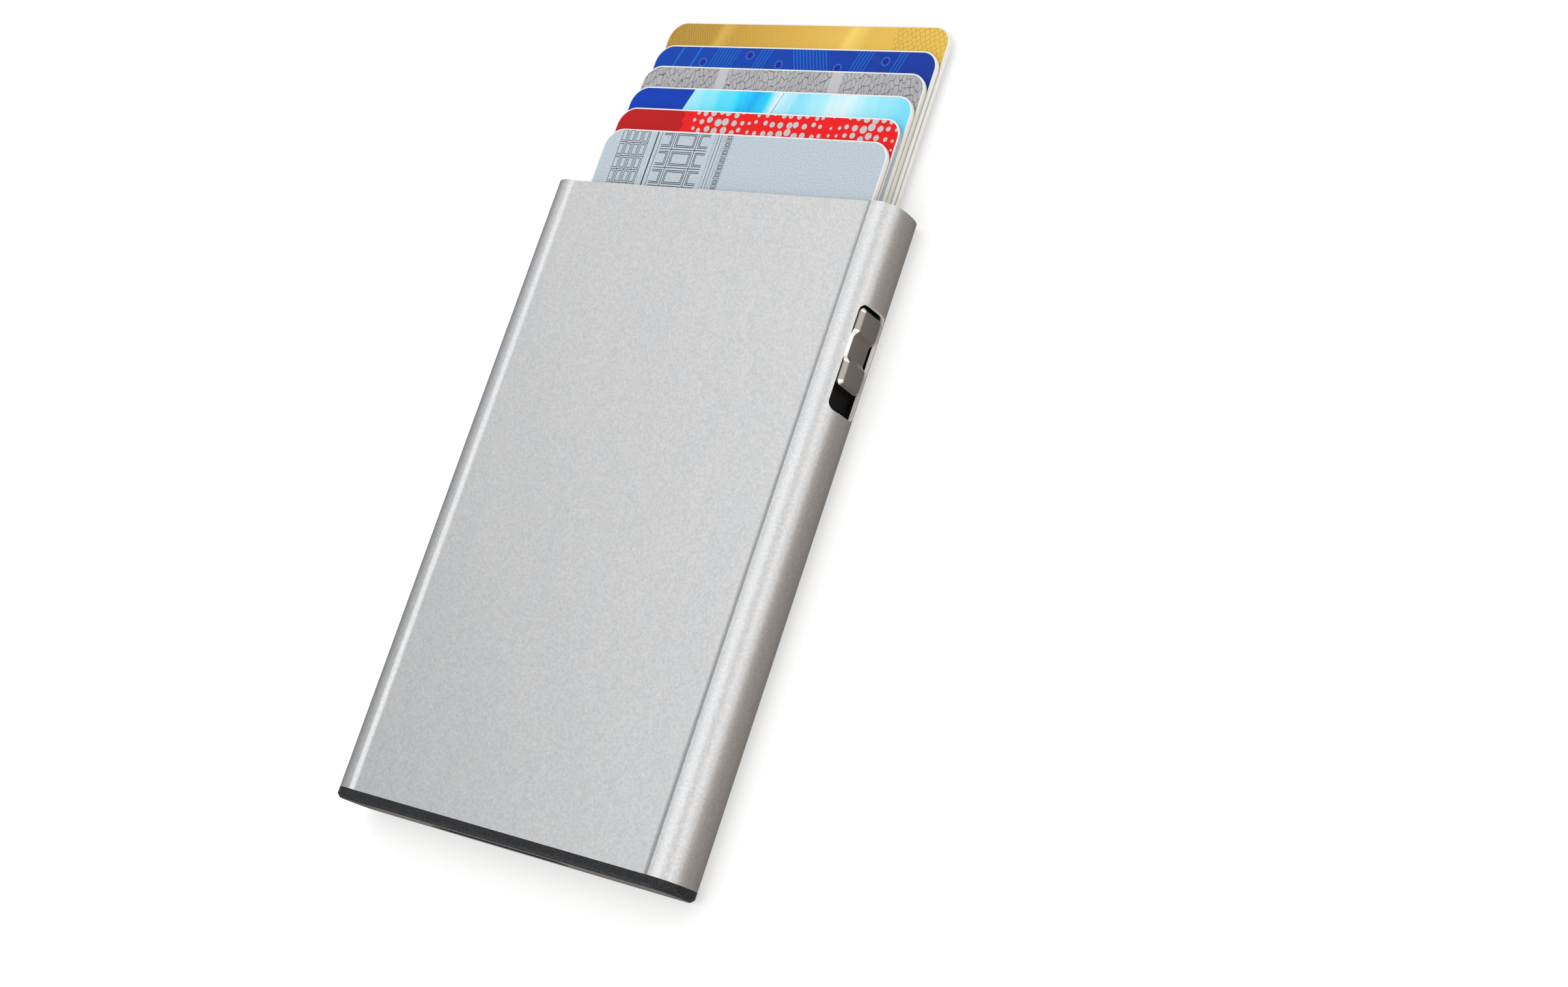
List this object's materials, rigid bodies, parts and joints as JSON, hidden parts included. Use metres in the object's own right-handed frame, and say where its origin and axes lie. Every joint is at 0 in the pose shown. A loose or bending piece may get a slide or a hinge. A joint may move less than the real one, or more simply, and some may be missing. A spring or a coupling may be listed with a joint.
{
  "type": "pop up card holder",
  "caption": "Slim aluminium card holder with a black base cap and a side slide button whose spring lever fans a stack of plastic cards.",
  "frame": {"origin": "middle of the flat back face, halfway between the mouth and the bottom of the base cap", "axes": "+X across towards the button's side, +Y along the case towards the mouth the cards leave by, +Z from the back face to the front panel"},
  "size_m": [0.0656, 0.1331, 0.009],
  "materials": {
    "aluminium": "fine bead-blasted, satin anodised",
    "button_metal": "satin anodised, bright chamfered edges",
    "black_plastic": "fine matt texture",
    "lever_plastic": "smooth moulded",
    "steel": "drawn spring steel",
    "felt": "short felt",
    "card_1_print": "satin laminate, silver blue with a fine sparkle",
    "card_2_print": "satin laminate, red with pale dots",
    "card_3_print": "satin laminate, navy and sky blue fields",
    "card_4_print": "satin laminate, grey with fine looped lines",
    "card_5_print": "satin laminate, royal blue with fine traces",
    "card_6_print": "satin laminate, gold with a wavy grain"
  },
  "bodies": {
    "case": {"case_shell": "aluminium", "base_cap": "black_plastic", "chassis": "black_plastic", "pivot_pin": "steel", "latch_pin": "steel", "ejector_spring": "steel", "button_spring": "steel", "latch_spring": "steel", "brake_spring": "steel", "brake_pad": "felt"},
    "ejector": {"ejector_arm": "lever_plastic"},
    "button": {"release_button": "button_metal", "button_carrier": "black_plastic", "button_screw_upper": "steel", "button_screw_lower": "steel", "release_rod": "steel"},
    "latch": {"latch_pawl": "steel"},
    "card_1_body": {"card_1": "card_1_print"},
    "card_2_body": {"card_2": "card_2_print"},
    "card_3_body": {"card_3": "card_3_print"},
    "card_4_body": {"card_4": "card_4_print"},
    "card_5_body": {"card_5": "card_5_print"},
    "card_6_body": {"card_6": "card_6_print"}
  },
  "joints": [
    {"name": "ejector_swing", "type": "hinge", "parent": "case", "child": "ejector", "pos_m": [0.025, -0.03992, 0.00435], "axis": [0, 0, -1], "range_deg": [-45, 0], "stiffness_Nm_per_rad": 0.01, "springref_deg": 34.38, "deforming": ["ejector_spring"]},
    {"name": "button_release", "type": "slide", "parent": "case", "child": "button", "axis": [0, -1, 0], "range_m": [0, 0.0036], "stiffness_N_per_m": 300, "springref_m": -0.002, "deforming": ["button_spring"]},
    {"name": "latch_turn", "type": "hinge", "parent": "case", "child": "latch", "pos_m": [0.03035, -0.03212, 0.004], "axis": [0, 0, 1], "range_deg": [0, 6.9], "deforming": ["latch_spring"]},
    {"name": "card_1_slide", "type": "slide", "parent": "case", "child": "card_1_body", "axis": [0, 1, 0], "range_m": [-0.0104, 0]},
    {"name": "card_2_slide", "type": "slide", "parent": "case", "child": "card_2_body", "axis": [0, 1, 0], "range_m": [-0.01468, 0]},
    {"name": "card_3_slide", "type": "slide", "parent": "case", "child": "card_3_body", "axis": [0, 1, 0], "range_m": [-0.01896, 0]},
    {"name": "card_4_slide", "type": "slide", "parent": "case", "child": "card_4_body", "axis": [0, 1, 0], "range_m": [-0.02324, 0]},
    {"name": "card_5_slide", "type": "slide", "parent": "case", "child": "card_5_body", "axis": [0, 1, 0], "range_m": [-0.02752, 0]},
    {"name": "card_6_slide", "type": "slide", "parent": "case", "child": "card_6_body", "axis": [0, 1, 0], "range_m": [-0.03223, 0]}
  ],
  "couplings": [
    {"joint": "latch_turn", "follows": "button_release", "rad_per_m": 33.45},
    {"joint": "card_1_slide", "follows": "ejector_swing", "m_per_rad": 0.013241},
    {"joint": "card_2_slide", "follows": "ejector_swing", "m_per_rad": 0.018691},
    {"joint": "card_3_slide", "follows": "ejector_swing", "m_per_rad": 0.02414},
    {"joint": "card_4_slide", "follows": "ejector_swing", "m_per_rad": 0.02959},
    {"joint": "card_5_slide", "follows": "ejector_swing", "m_per_rad": 0.035039},
    {"joint": "card_6_slide", "follows": "ejector_swing", "m_per_rad": 0.041036}
  ]
}
